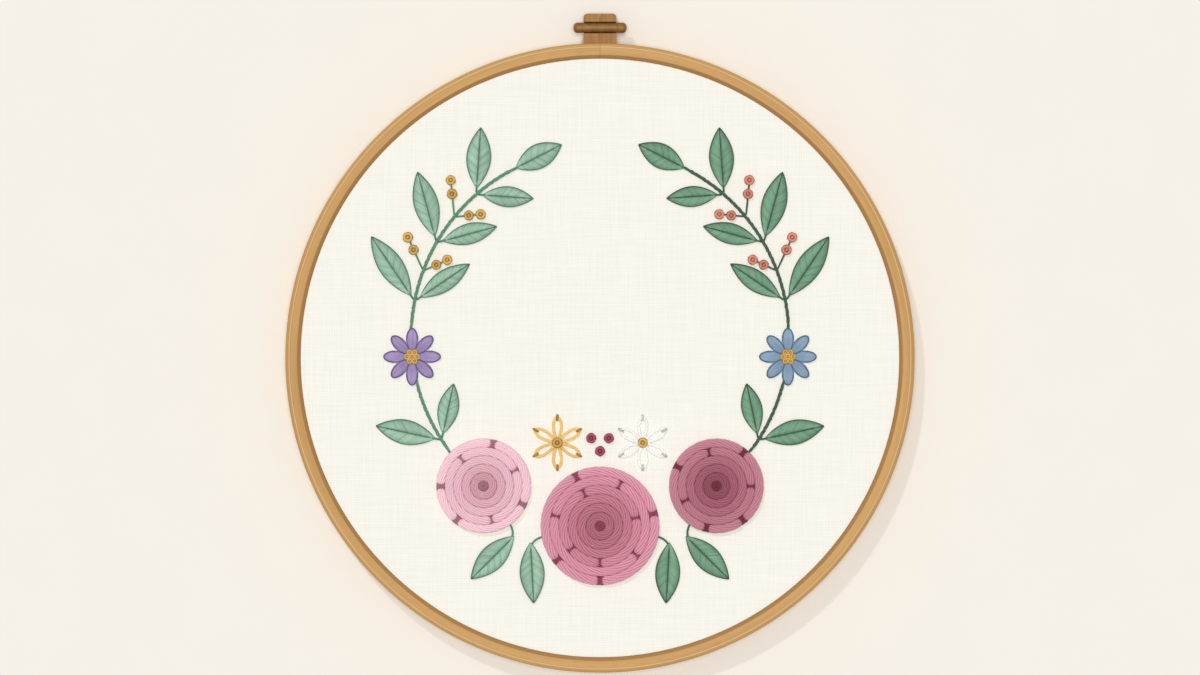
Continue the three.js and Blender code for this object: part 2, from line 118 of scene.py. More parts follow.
def mottle(tree, density, detail, place=None):
    """Noise with a density of blots each way, over Object coordinates or another place."""
    if place is None:
        place = add(tree, "ShaderNodeTexCoord").outputs["Object"]
    scaled = add(tree, "ShaderNodeMapping", {"Vector": place, "Scale": density}).outputs["Vector"]
    noise = add(tree, "ShaderNodeTexNoise", {"Vector": scaled, "Scale": 1.0, "Detail": detail})
    return noise.outputs["Fac"]


def table_finish():
    """Pale matt board with a very faint mottle."""
    finish, tree, shader = new_finish("table_board", {"Roughness": 0.9, "Specular IOR Level": 0.1})
    colour = blend_of(tree, mottle(tree, TABLE_MOTTLE, 3), *TABLE_TONES)
    join(tree, colour, shader.inputs["Base Color"])
    return finish


def show(name, data, finish=None):
    """A new object at the origin, with its finish."""
    if finish:
        data.materials.append(finish)
    made = bpy.data.objects.new(name, data)
    bpy.context.scene.collection.objects.link(made)
    return made


table_mesh = bpy.data.meshes.new("table")
table_points = [(x * TABLE_HALF_WIDTH, y * TABLE_HALF_WIDTH, 0) for x, y in TABLE_CORNERS]
table_mesh.from_pydata(table_points, [], [(0, 1, 2, 3)])
show("table", table_mesh, table_finish())

camera_data = bpy.data.cameras.new("camera")
camera_data.lens = LENS_MM
view_width = PHOTO_WIDTH_PX / PHOTO_PX_PER_MM * MM
view_y = HOOP_Y + (PHOTO_HOOP_ROW_PX - PHOTO_MIDDLE_ROW_PX) / PHOTO_PX_PER_MM * MM
camera = show("camera", camera_data)
camera.location = (0, view_y, HOOP_FRONT + view_width * LENS_MM / camera_data.sensor_width)
bpy.context.scene.camera = camera


def lamp(name, way, share, softness):
    """A distant lamp that shines along a direction and gives a level surface a share of its light."""
    way = np.array(way) / np.linalg.norm(way)
    data = bpy.data.lights.new(name, "SUN")
    data.energy = share * pi / -way[2]
    data.angle = softness
    turned = (acos(-way[2]), 0, atan2(way[1], way[0]) - pi / 2)
    show(name, data).rotation_euler = turned


lamp("key", SHADOW_SHIFT, KEY_SHARE, KEY_SOFTNESS)
lamp("top", (0, 0, -1), TOP_SHARE, TOP_SOFTNESS)

world = bpy.data.worlds.new("fill")
world.use_nodes = True
fill = world.node_tree.nodes["Background"].inputs
fill["Color"].default_value = FILL_COLOUR
fill["Strength"].default_value = FILL_SHARE
bpy.context.scene.world = world
bpy.context.scene.view_settings.view_transform = "Standard"

# Inner hoop
# A plain ring of bent beech behind the cloth, its grain running round the bend. The cloth is
# laid over it, so only its back edge and its inside show, from behind.
RING_STEPS = 360
GRAIN_RADIUS = 100 * MM
SHARP_EDGE = radians(40)
EASING_STEPS = 4
INNER_OUTSIDE = 98.4 * MM
INNER_WALL = 4 * MM
INNER_EASING = 0.5 * MM
WOOD_PALE = (209, 163, 101)
WOOD_DARK = (191, 145, 85)
# Deep wood colour: a real stain in the pores, and painted shade on the inner bevel.
WOOD_PORE_AND_BEVEL_SHADE = (168, 121, 66)
# Pale colour of the painted highlight along the turned bead.
WOOD_BEAD_HIGHLIGHT = (233, 194, 144)
WOOD_TONES = ((0.34, WOOD_DARK), (0.62, WOOD_PALE))
BROAD_STREAKS = (9, 420, 1)
FINE_STREAKS = (45, 2600, 1)
PORE_STREAKS = (230, 3600, 1)
BROAD_SHARE = 0.6
PORE_STAIN = 0.45
PORE_DEPTH = 0.6
BEVEL_GRAIN = 0.35


def smoothed(mesh):
    """Points a mesh's faces outwards and shades it smooth, but for its sharp edges."""
    work = bmesh.new()
    work.from_mesh(mesh)
    bmesh.ops.recalc_face_normals(work, faces=work.faces)
    work.to_mesh(mesh)
    work.free()
    mesh.shade_smooth()
    mesh.set_sharp_from_angle(angle=SHARP_EDGE)
    return mesh


def band_faces(bands, rows, count, first=0):
    """Faces in bands from each row of points to the next. Every row closes on itself."""
    faces = []
    for band in range(bands):
        here = first + band * count
        there = first + (band + 1) % rows * count
        for i in range(count):
            k = (i + 1) % count
            faces.append((here + i, there + i, there + k, here + k))
    return faces


def ring_mesh(name, section, slit_turn=0.0, marks=None):
    """Sweeps a closed section of (radius, z) points round the hoop's centre, all round or from one side
    of a slit at the top to the other. The UV map runs in metres, along the bend and round the section."""
    count = len(section)
    rows = RING_STEPS + 1 if slit_turn else RING_STEPS
    turns = np.linspace(pi * 0.5 + slit_turn, pi * 2.5 - slit_turn, RING_STEPS + 1)
    vertices = [
        (r * cos(turn), HOOP_Y + r * sin(turn), z) for turn in turns[:rows] for r, z in section
    ]
    edges = np.diff(np.array(section + section[:1]), axis=0)
    around = np.concatenate([[0], np.cumsum(np.hypot(edges[:, 0], edges[:, 1]))])
    along = (turns - turns[0]) * GRAIN_RADIUS
    faces = band_faces(RING_STEPS, rows, count)
    grain = []
    for row, i in np.ndindex(RING_STEPS, count):
        grain += [(along[row + a], around[i + b]) for a, b in ((0, 0), (1, 0), (1, 1), (0, 1))]
    if slit_turn:
        faces.append(tuple(range(count)))
        faces.append(tuple(RING_STEPS * count + i for i in reversed(range(count))))
        grain += [*section, *reversed(section)]
    mesh = bpy.data.meshes.new(name)
    mesh.from_pydata(vertices, [], faces)
    layer = mesh.uv_layers.new(name="grain")
    layer.data.foreach_set("uv", np.array(grain, dtype=np.float32).ravel())
    for mark, values in (marks or {}).items():
        attribute = mesh.attributes.new(mark, "FLOAT", "POINT")
        attribute.data.foreach_set("value", np.tile(np.array(values, dtype=np.float32), rows))
    return smoothed(mesh)


def arc_points(centre, radius, turn_from, turn_to, steps=EASING_STEPS):
    """Points of an arc in a section, in degrees."""
    turns = np.radians(np.linspace(turn_from, turn_to, steps))
    return [(centre[0] + radius * cos(t), centre[1] + radius * sin(t)) for t in turns]


def calc(tree, operation, *values):
    """The result of one arithmetic node."""
    return add(tree, "ShaderNodeMath", dict(enumerate(values)), operation=operation).outputs[0]


def remap(tree, value, ends):
    """A value moved from one range to another."""
    return add(tree, "ShaderNodeMapRange", {"Value": value, **ends}).outputs["Result"]


def ramp_of(tree, share, stops):
    """A colour from a short ramp of (place, screen colour) stops."""
    ramp = add(tree, "ShaderNodeValToRGB", {"Fac": share})
    elements = ramp.color_ramp.elements
    while len(elements) < len(stops):
        elements.new(0.5)
    for element, (place, colour) in zip(elements, stops):
        element.position = place
        element.color = tint(*colour)
    return ramp.outputs["Color"]


def mark_of(tree, name, kind="Fac"):
    """A number, or a vector, that the mesh carries."""
    return add(tree, "ShaderNodeAttribute", attribute_name=name).outputs[kind]


def grain_of(tree, broad, fine):
    """Broad and fine streaks of wood together."""
    wide = calc(tree, "MULTIPLY", broad, BROAD_SHARE)
    return calc(tree, "ADD", wide, calc(tree, "MULTIPLY", fine, 1 - BROAD_SHARE))


def dress(tree, shader, colour, height, strength, depth):
    """Gives a surface its colour and its fine relief."""
    join(tree, colour, shader.inputs["Base Color"])
    bump = add(tree, "ShaderNodeBump", {"Height": height, "Strength": strength, "Distance": depth})
    join(tree, bump.outputs["Normal"], shader.inputs["Normal"])


def wood_finish():
    """Satin-lacquered wood. Streaks and short pores run along the bend, by the UV map's metres.
    The bevel mark paints the inner bevel darker as shade, and the bead highlight mark paints a pale line
    along the bead as a highlight."""
    finish, tree, shader = new_finish("hoop_beech", {"Specular IOR Level": 0.2})
    place = add(tree, "ShaderNodeUVMap", uv_map="grain").outputs["UV"]
    broad = mottle(tree, BROAD_STREAKS, 3, place)
    fine = mottle(tree, FINE_STREAKS, 4, place)
    pores = remap(tree, mottle(tree, PORE_STREAKS, 1, place), {"From Min": 0.64, "From Max": 0.74})
    colour = ramp_of(tree, grain_of(tree, broad, fine), WOOD_TONES)
    # The deep colour stains the pores, a real stain, and below it colours the inner bevel as painted shade.
    colour = blend_of(tree, calc(tree, "MULTIPLY", pores, PORE_STAIN), colour, WOOD_PORE_AND_BEVEL_SHADE)
    bevel_shade = blend_of(tree, calc(tree, "MULTIPLY", fine, BEVEL_GRAIN), WOOD_PORE_AND_BEVEL_SHADE, WOOD_PALE)
    colour = blend_of(tree, mark_of(tree, "bevel"), colour, bevel_shade)
    # Painted highlight: a pale line along the turned bead.
    colour = blend_of(tree, mark_of(tree, "bead_highlight"), colour, WOOD_BEAD_HIGHLIGHT)
    join(tree, remap(tree, fine, {"To Min": 0.42, "To Max": 0.6}), shader.inputs["Roughness"])
    height = calc(tree, "SUBTRACT", fine, calc(tree, "MULTIPLY", pores, PORE_DEPTH))
    dress(tree, shader, colour, height, strength=0.25, depth=0.12 * MM)
    return finish


def fit(piece, body, slot, *nodes):
    """Puts a piece on its body, in place of the nodes that it shows. Its slot is not used."""
    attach(piece, body)
    if nodes:
        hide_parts(*nodes)


hoop_wood = wood_finish()
inner_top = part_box("inner_hoop")[1].z - INNER_EASING
inner_near = INNER_OUTSIDE - INNER_WALL + INNER_EASING
inner_far = INNER_OUTSIDE - INNER_EASING
inner_places = [(inner_near, INNER_EASING), (inner_far, INNER_EASING)]
inner_places += [(inner_far, inner_top), (inner_near, inner_top)]
inner_section = []
for place, turn in zip(inner_places, (180, 270, 0, 90)):
    inner_section += arc_points(place, INNER_EASING, turn, turn + 90)
inner_mesh = ring_mesh("inner_hoop_beech", inner_section)
fit(show("inner_hoop_beech", inner_mesh, hoop_wood), "hoop", "hoop_wood", "inner_hoop")

# Ground cloth
# One round of off-white plain-weave linen, stretched drum-tight over the inner hoop. Its edge
# turns down between the hoops and is trimmed just short of the back.
CLOTH_TRIM, CLOTH_FRONT = (corner.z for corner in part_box("ground_cloth"))
CLOTH_THICKNESS = 1 * MM
SKIRT_RADIUS = 99.95 * MM
SHOULDER = 0.5 * MM
SHOULDER_STEPS = 5
CLOTH_RINGS = 84
CLOTH_SECTORS = 256
SKIRT_STEPS = 5
THREAD_PITCH = 0.82 * MM
SLUB_DENSITY = 60
SLUB_TONE = 0.48
SLUB_HEIGHT = 0.6
# How far the weave's dips are painted darker, as shade.
WEAVE_SHADE = 0.3
CROSSING_WIDTH = 0.35
LINEN_TONES = ((0.35, (243, 239, 227)), (0.85, (254, 251, 242)))


def cloth_mesh():
    """The sheet's front: a disc, a rounded shoulder and the skirt."""
    flat = SKIRT_RADIUS - SHOULDER
    fold = CLOTH_FRONT - SHOULDER
    line = [(flat * (i + 1) / CLOTH_RINGS, CLOTH_FRONT) for i in range(CLOTH_RINGS)]
    line += arc_points((flat, fold), SHOULDER, 90, 0, SHOULDER_STEPS)[1:]
    line += [(SKIRT_RADIUS, z) for z in np.linspace(fold, CLOTH_TRIM, SKIRT_STEPS + 1)[1:]]
    turns = np.linspace(0, tau, CLOTH_SECTORS, endpoint=False)
    vertices = [(0, HOOP_Y, CLOTH_FRONT)]
    vertices += [(r * cos(t), HOOP_Y + r * sin(t), z) for r, z in line for t in turns]
    faces = [(0, 1 + j, 1 + (j + 1) % CLOTH_SECTORS) for j in range(CLOTH_SECTORS)]
    faces += band_faces(len(line) - 1, len(line), CLOTH_SECTORS, first=1)
    mesh = bpy.data.meshes.new("ground_linen")
    mesh.from_pydata(vertices, [], faces)
    mesh.shade_smooth()
    return mesh


def linen_finish():
    """Plain weave by Object coordinates: each thread passes over and under the next, with slubs."""
    plain = {"Roughness": 0.85, "Specular IOR Level": 0.2, "Sheen Weight": 0.08}
    finish, tree, shader = new_finish("linen", plain)
    place = add(tree, "ShaderNodeTexCoord").outputs["Object"]
    parts = add(tree, "ShaderNodeSeparateXYZ", {"Vector": place})
    waves = []
    for axis in ("X", "Y"):
        turn = calc(tree, "MULTIPLY", parts.outputs[axis], pi / THREAD_PITCH)
        waves.append(calc(tree, "SINE", turn))
    crossing = calc(tree, "MULTIPLY", *waves)
    over = remap(tree, crossing, {"From Min": -CROSSING_WIDTH, "From Max": CROSSING_WIDTH})
    warp, weft = (calc(tree, "ABSOLUTE", wave) for wave in waves)
    weave = add(tree, "ShaderNodeMix", {0: over, 2: warp, 3: weft}, data_type="FLOAT").outputs[0]
    warp_slub = mottle(tree, (1 / THREAD_PITCH, SLUB_DENSITY, 1), 2)
    weft_slub = mottle(tree, (SLUB_DENSITY, 1 / THREAD_PITCH, 1), 2)
    slubs = calc(tree, "ADD", warp_slub, weft_slub)
    # The weave's relief also colours the cloth: darker in the dips between threads, as painted shade.
    tone = calc(tree, "MULTIPLY_ADD", weave, WEAVE_SHADE, calc(tree, "MULTIPLY", slubs, SLUB_TONE))
    colour = ramp_of(tree, tone, LINEN_TONES)
    height = calc(tree, "MULTIPLY_ADD", slubs, SLUB_HEIGHT, weave)
    dress(tree, shader, colour, height, strength=0.55, depth=0.12 * MM)
    return finish


linen_piece = show("ground_linen", cloth_mesh(), linen_finish())
thickness = linen_piece.modifiers.new("thickness", "SOLIDIFY")
thickness.thickness = CLOTH_THICKNESS
thickness.offset = -1
fit(linen_piece, "hoop", "linen", "ground_cloth")

# Outer hoop
# A ring of bent beech, split at the top, that grips the cloth round the inner hoop. Its front rim has
# an inner bevel painted darker as shade, a fine turned bead painted pale along it as a highlight, and a
# rounded outer edge.
OUTER_INSIDE = 100 * MM
OUTER_OUTSIDE = 105 * MM
FACE_RADII_MM = (103, 102.3, 101.6, 101.12)
INNER_WALL_MM = (7, 4, 1)
OUTER_WALL_MM = (2.5, 5, 7.4)
BEVEL = 1 * MM
BEVEL_SHARES = (0.96, 0.66, 0.33, 0)
ROUNDING = 1.4 * MM
ROUNDING_END = 82
ROUNDING_STEPS = 8
BACK_EASING = 0.5 * MM
BEAD_RADIUS = 103.67 * MM
BEAD_HALF_WIDTH = 0.3 * MM
BEAD_RISE = 0.14 * MM
BEAD_STEPS = 7
# Half width of the painted highlight along the bead.
BEAD_HIGHLIGHT_HALF_WIDTH = 0.8 * BEAD_HALF_WIDTH
HALF_SLIT = 0.03 * MM

bead = [
    (BEAD_RADIUS + BEAD_HALF_WIDTH * s, HOOP_FRONT + BEAD_RISE * cos(s * pi / 2))
    for s in np.linspace(1, -1, BEAD_STEPS)
]
bevel_face = [(OUTER_INSIDE + BEVEL * s, HOOP_FRONT - BEVEL * (1 - s)) for s in BEVEL_SHARES]
rim_centre = (OUTER_OUTSIDE - ROUNDING, HOOP_FRONT - ROUNDING)
outer_section = [
    (OUTER_INSIDE, 0),
    *arc_points((OUTER_OUTSIDE - BACK_EASING, BACK_EASING), BACK_EASING, 270, 360),
    *((OUTER_OUTSIDE, z * MM) for z in OUTER_WALL_MM),
    *arc_points(rim_centre, ROUNDING, 0, ROUNDING_END, ROUNDING_STEPS),
    *bead,
    *((r * MM, HOOP_FRONT) for r in FACE_RADII_MM),
    *bevel_face,
    *((OUTER_INSIDE, z * MM) for z in INNER_WALL_MM),
]
# Where the bevel is painted darker as shade, and where the bead carries a painted highlight.
outer_marks = {
    "bevel": [1.0 if point in bevel_face else 0.0 for point in outer_section],
    "bead_highlight": [
        1 - min(1, abs(point[0] - BEAD_RADIUS) / BEAD_HIGHLIGHT_HALF_WIDTH) if point in bead else 0.0
        for point in outer_section
    ],
}
slit_turn = asin(HALF_SLIT / ((OUTER_INSIDE + OUTER_OUTSIDE) / 2))
outer_mesh = ring_mesh("outer_hoop_beech", outer_section, slit_turn, outer_marks)
fit(show("outer_hoop_beech", outer_mesh, hoop_wood), "hoop", "hoop_wood", "outer_hoop")

# Lugs
# Two small blocks of darker-stained beech glued to the ends of the split hoop. Each has a channel,
# open to the front, that the closing screw lies in.
LUG_EDGE = 0.18 * MM
LUG_EDGE_SEGMENTS = 3
FOOT_BAND = 0.2 * MM
SLIT_BAND = 0.2 * MM
MERGE_DISTANCE = 0.002 * MM
FLAT_ANGLE = radians(2)
LUG_BROAD_STREAKS = (900, 90, 900)
LUG_FINE_STREAKS = (3600, 260, 3600)
LUG_TONES = ((0.35, (146, 101, 49)), (0.62, (172, 125, 67)))


def lug_copy(side):
    """A copy of a lug's solid with its flat faces whole, its foot on the hoop and its inner face drawn
    up to the other lug. All its sharp edges but those of the slit are weighted for easing."""
    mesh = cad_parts[f"lug_{side}"].data.copy()
    mesh.name = f"lug_{side}_beech"
    mesh.materials.clear()
    work = bmesh.new()
    work.from_mesh(mesh)
    bmesh.ops.remove_doubles(work, verts=work.verts, dist=MERGE_DISTANCE)
    bmesh.ops.dissolve_limit(work, angle_limit=FLAT_ANGLE, verts=work.verts, edges=work.edges)
    foot = min(vertex.co.y for vertex in work.verts)
    for vertex in work.verts:
        if abs(vertex.co.x) < SLIT_BAND:
            vertex.co.x = copysign(HALF_SLIT, vertex.co.x)
        if vertex.co.y < foot + FOOT_BAND:
            vertex.co.y = HOOP_Y + sqrt((OUTER_OUTSIDE - FOOT_BAND) ** 2 - vertex.co.x**2)
    weight = work.edges.layers.float.new("bevel_weight_edge")
    for edge in work.edges:
        at_slit = all(abs(vertex.co.x) < SLIT_BAND for vertex in edge.verts)
        edge[weight] = 0.0 if at_slit or edge.calc_face_angle(0) < SHARP_EDGE else 1.0
    work.to_mesh(mesh)
    work.free()
    return mesh


def block_finish():
    """Stained beech with its grain up the block, by Object coordinates."""
    finish, tree, shader = new_finish("lug_beech", {"Roughness": 0.5, "Specular IOR Level": 0.2})
    broad = mottle(tree, LUG_BROAD_STREAKS, 2)
    fine = mottle(tree, LUG_FINE_STREAKS, 3)
    colour = ramp_of(tree, grain_of(tree, broad, fine), LUG_TONES)
    dress(tree, shader, colour, fine, strength=0.25, depth=0.1 * MM)
    return finish


lug_wood = block_finish()
for side in ("left", "right"):
    lug_piece = show(f"lug_{side}_beech", lug_copy(side), lug_wood)
    edges = lug_piece.modifiers.new("eased_edges", "BEVEL")
    edges.width = LUG_EDGE
    edges.segments = LUG_EDGE_SEGMENTS
    edges.limit_method = "WEIGHT"
    fit(lug_piece, "hoop", "lug_wood", f"lug_{side}")

# Closing screw
# A small aged-bronze screw across the two lugs: a slotted round head at the left, a plain shank in the
# channels, and a domed end at the right. Turning it draws the split hoop together.
screw_low, screw_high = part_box("closing_screw")
SCREW_Y = (screw_low.y + screw_high.y) / 2
SCREW_Z = (screw_low.z + screw_high.z) / 2
SCREW_HALF = (screw_high.x - screw_low.x) / 2
HEAD_RADIUS = (screw_high.y - screw_low.y) / 2
HEAD_DOME = 1.3 * MM
HEAD_DOME_TURNS = (85, 65, 48, 32, 16, 0)
HEAD_EASING = 0.12 * MM
SHANK_RADIUS = 1.66 * MM
SHANK_HALF = 5.75 * MM
SCREW_SECTORS = 40
SLOT_HALF_WIDTH = 0.35 * MM
SLOT_DEPTH = 0.9 * MM
BRONZE_CLOUDS = (500, 500, 500)
TURNING_MARKS = (9000, 300, 300)
BRONZE_TONES = ((0.35, (138, 98, 54)), (0.65, (162, 118, 70)))


def bronze_finish():
    """Aged bronze: dull yellow-brown metal with cloudy patches and fine turning marks."""
    finish, tree, shader = new_finish("aged_bronze", {"Metallic": 0.6})
    cloud = mottle(tree, BRONZE_CLOUDS, 4)
    colour = ramp_of(tree, cloud, BRONZE_TONES)
    join(tree, remap(tree, cloud, {"To Min": 0.5, "To Max": 0.7}), shader.inputs["Roughness"])
    dress(tree, shader, colour, mottle(tree, TURNING_MARKS, 2), strength=0.2, depth=0.05 * MM)
    return finish


def screw_mesh():
    """The screw turned about X: a domed end, the head, the shank, and the same at the far end."""
    head = [
        (HEAD_DOME * (1 - sin(turn)) - SCREW_HALF, HEAD_RADIUS * cos(turn))
        for turn in np.radians(HEAD_DOME_TURNS)
    ]
    head += [(-SHANK_HALF - HEAD_EASING, HEAD_RADIUS), (-SHANK_HALF, HEAD_RADIUS - HEAD_EASING)]
    head += [(-SHANK_HALF, SHANK_RADIUS)]
    line = head + [(-x, radius) for x, radius in reversed(head)]
    turns = np.linspace(0, tau, SCREW_SECTORS, endpoint=False)
    vertices = [(x, SCREW_Y + r * cos(t), SCREW_Z + r * sin(t)) for x, r in line for t in turns]
    faces = band_faces(len(line) - 1, len(line), SCREW_SECTORS)
    last = (len(line) - 1) * SCREW_SECTORS
    faces += [tuple(end + j for j in range(SCREW_SECTORS)) for end in (0, last)]
    mesh = bpy.data.meshes.new("closing_screw_bronze")
    mesh.from_pydata(vertices, [], faces)
    return smoothed(mesh)


def slot_mesh():
    """The block that cuts the driver slot, across the end of the head."""
    mesh = bpy.data.meshes.new("driver_slot")
    work = bmesh.new()
    bmesh.ops.create_cube(work, size=2)
    middle = (-SCREW_HALF, SCREW_Y, SCREW_Z)
    halves = (SLOT_DEPTH, 2 * HEAD_RADIUS, SLOT_HALF_WIDTH)
    for vertex in work.verts:
        vertex.co = [m + c * half for m, c, half in zip(middle, vertex.co, halves)]
    work.to_mesh(mesh)
    work.free()
    return mesh


def made_plain(piece):
    """Turns a piece with live modifiers into a plain mesh."""
    bpy.context.view_layer.update()
    graph = bpy.context.evaluated_depsgraph_get()
    live = piece.evaluated_get(graph)
    mesh = bpy.data.meshes.new_from_object(live, preserve_all_data_layers=True, depsgraph=graph)
    mesh.name = piece.name
    piece.modifiers.clear()
    piece.data = mesh
    return piece


bronze = bronze_finish()
screw_piece = show("closing_screw_bronze", screw_mesh(), bronze)
slot_cutter = show("driver_slot", slot_mesh(), bronze)
cut = screw_piece.modifiers.new("driver_slot", "BOOLEAN")
cut.operation = "DIFFERENCE"
cut.object = slot_cutter
made_plain(screw_piece)
bpy.data.objects.remove(slot_cutter)
fit(screw_piece, "screw", "bronze", "closing_screw")

# Vines
# Stem stitch up both sides of the wreath in stranded green floss: each stitch is a short slanting
# bundle that starts beside the middle of the one before, so the row reads as a twisted cord.
WREATH_Y = HOOP_Y + 7 * MM
WREATH_MIDDLE = np.array([0, WREATH_Y])
WREATH_RADIUS = 63 * MM
STEM_STITCH = 4.4 * MM
STEM_SPACING = 2.3 * MM
STEM_SLANT = 0.21 * MM
STEM_RISE = 0.55 * MM
STEM_TONE = 0.8
STEM_TUCK = 0.7
VINE_REACH = {"low": (0.0, 2.2 * MM), "high": (0.5 * MM, 0.0)}
STITCH_SINK = 0.3 * MM
STITCH_POINTS = 8
STITCH_EASE = 0.55
FIBRE_STREAKS = (260, 3.2, 3.2)
FIBRE_CONTRAST = 0.3
TONE_CONTRAST = 0.06
FLOSS_INPUTS = dict(Geometry="Geometry", Strands="Int", Strand="Float", Bundle="Float", Twist="Float")
FLOSS_INPUTS |= dict(Flatness="Float", Sides="Int", Finish="Material")
STEM_FLOSS = dict(Strands=4, Strand=0.22 * MM, Bundle=0.27 * MM, Twist=9 * MM, Flatness=0.7, Sides=6)
draw = np.random.default_rng(41)


def floss_tree():
    """Lays floss along the edges of a mesh: a bundle of strands for each stitch. Strand and Bundle are
    radii, and Twist is the length in which a strand goes once round. girth swells the bundle, phase
    turns it, and fibre keeps (length, round x, round y) for the finish."""
    tree = bpy.data.node_groups.new("floss along paths", "GeometryNodeTree")
    for label, kind in FLOSS_INPUTS.items():
        tree.interface.new_socket(label, in_out="INPUT", socket_type=f"NodeSocket{kind}")
    tree.interface.new_socket("Geometry", in_out="OUTPUT", socket_type="NodeSocketGeometry")
    given = add(tree, "NodeGroupInput").outputs

    def step(kind, inputs=None, **settings):
        return add(tree, f"GeometryNode{kind}", inputs, **settings).outputs[0]

    def vector(operation, inputs):
        return add(tree, "ShaderNodeVectorMath", inputs, operation=operation).outputs[0]

    def keep(geometry, kind, value):
        kept = add(tree, "GeometryNodeCaptureAttribute", {"Geometry": geometry})
        kept.capture_items.new(kind, "Kept")
        join(tree, value, kept.inputs[1])
        return kept.outputs[0], kept.outputs[1]

    level = step("SetCurveNormal", {"Curve": step("MeshToCurve", {"Mesh": given["Geometry"]})}, mode="Z_UP")
    amount = {"Geometry": level, "Amount": given["Strands"]}
    copies = add(tree, "GeometryNodeDuplicateElements", amount, domain="SPLINE").outputs
    length = add(tree, "GeometryNodeSplineParameter").outputs["Length"]
    girth = step("InputNamedAttribute", {"Name": "girth"})
    phase = step("InputNamedAttribute", {"Name": "phase"})
    share = calc(tree, "DIVIDE", copies["Duplicate Index"], given["Strands"])
    turns = calc(tree, "ADD", share, calc(tree, "DIVIDE", length, given["Twist"]))
    angle = calc(tree, "MULTIPLY_ADD", turns, tau, phase)
    reach = calc(tree, "MULTIPLY", given["Bundle"], girth)
    sideways = calc(tree, "MULTIPLY", reach, calc(tree, "COSINE", angle))
    upright = calc(tree, "MULTIPLY", reach, calc(tree, "SINE", angle))
    upright = calc(tree, "MULTIPLY", upright, given["Flatness"])
    normal = step("InputNormal")
    above = vector("CROSS_PRODUCT", {0: step("InputTangent"), 1: normal})
    out = vector("SCALE", {0: normal, "Scale": sideways})
    up = vector("SCALE", {0: above, "Scale": upright})
    wound = step("SetPosition", {"Geometry": copies["Geometry"], "Offset": vector("ADD", {0: out, 1: up})})
    wound, far = keep(wound, "FLOAT", length)

    circle = {"Resolution": given["Sides"], "Radius": given["Strand"]}
    ring = step("CurvePrimitiveCircle", circle, mode="RADIUS")
    unit = calc(tree, "DIVIDE", 1.0, given["Strand"])
    spot = vector("SCALE", {0: step("InputPosition"), "Scale": unit})
    ring, spot = keep(ring, "VECTOR", spot)
    swept = {"Curve": wound, "Profile Curve": ring, "Scale": girth, "Fill Caps": True}
    strands = step("CurveToMesh", swept)

    parts = add(tree, "ShaderNodeSeparateXYZ", {"Vector": spot}).outputs
    fibre = add(tree, "ShaderNodeCombineXYZ", {"X": far, "Y": parts["X"], "Z": parts["Y"]}).outputs[0]
    stored = {"Geometry": strands, "Name": "fibre", "Value": fibre}
    stored = step("StoreNamedAttribute", stored, data_type="FLOAT_VECTOR", domain="POINT")
    real = step("RealizeInstances", {"Geometry": step("SetShadeSmooth", {"Geometry": stored})})
    dressed = step("SetMaterial", {"Geometry": real, "Material": given["Finish"]})
    add(tree, "NodeGroupOutput", {"Geometry": dressed})
    return tree


floss_group = floss_tree()
flosses = {}


def add_floss(slot, *colours, places=None):
    """Mercerised cotton floss. shade picks the colour, tone varies it from stitch to stitch, and
    fibre streaks it along each strand, in colour and in relief."""
    plain = {"Roughness": 0.55, "Specular IOR Level": 0.3, "Sheen Weight": 0.25, "Sheen Roughness": 0.4}
    finish, tree, shader = new_finish(slot, plain)
    streak = mottle(tree, FIBRE_STREAKS, 3, mark_of(tree, "fibre", "Vector"))
    value = calc(tree, "MULTIPLY_ADD", streak, FIBRE_CONTRAST, 1 - FIBRE_CONTRAST / 2)
    value = calc(tree, "MULTIPLY_ADD", mark_of(tree, "tone"), TONE_CONTRAST, value)
    stops = list(zip(places or np.linspace(0, 1, len(colours)), colours))
    colour = ramp_of(tree, mark_of(tree, "shade"), stops)
    varied = add(tree, "ShaderNodeHueSaturation", {"Color": colour, "Value": value})
    dress(tree, shader, varied.outputs["Color"], streak, strength=0.5, depth=0.1 * MM)
    flosses[slot] = finish


def path_mesh(name, paths):
    """Open rows of points, one for each stitch, with what each point carries."""
    mesh = bpy.data.meshes.new(name)
    points = np.concatenate([path["points"] for path in paths])
    counts = [len(path["points"]) for path in paths]
    starts = np.concatenate([[0], np.cumsum(counts)])
    edges = [(i, i + 1) for a, n in zip(starts, counts) for i in range(a, a + n - 1)]
    mesh.from_pydata(points.tolist(), edges, [])
    for label, default in (("girth", 1.0), ("phase", 0.0), ("shade", 1.0), ("tone", 0.0)):
        values = [np.broadcast_to(path.get(label, default), n) for path, n in zip(paths, counts)]
        attribute = mesh.attributes.new(label, "FLOAT", "POINT")
        attribute.data.foreach_set("value", np.concatenate(values).astype(np.float32))
    return mesh


def sew(name, paths, floss, slot, *nodes):
    """A piece of floss laid along paths, in place of nodes on the hoop."""
    piece = show(name, path_mesh(f"{name}_paths", paths))
    growth = piece.modifiers.new("floss", "NODES")
    growth.node_group = floss_group
    values = {**floss, "Finish": flosses[slot]}
    for item in floss_group.interface.items_tree:
        if item.in_out == "INPUT" and item.name in values:
            growth[item.identifier] = values[item.name]
    fit(made_plain(piece), "hoop", slot, *nodes)


def path_of(flat, rise, **carried):
    """The path of a thread: its places on the cloth, their rise above it, and what they carry."""
    heights = np.broadcast_to(CLOTH_FRONT + rise, len(flat))
    return {"points": np.column_stack([flat, heights]), **carried}


def eased(steps):
    """Shares from 0 to 1 that lie closer together towards both ends."""
    return 0.5 - 0.5 * np.cos(np.linspace(0, pi, steps))


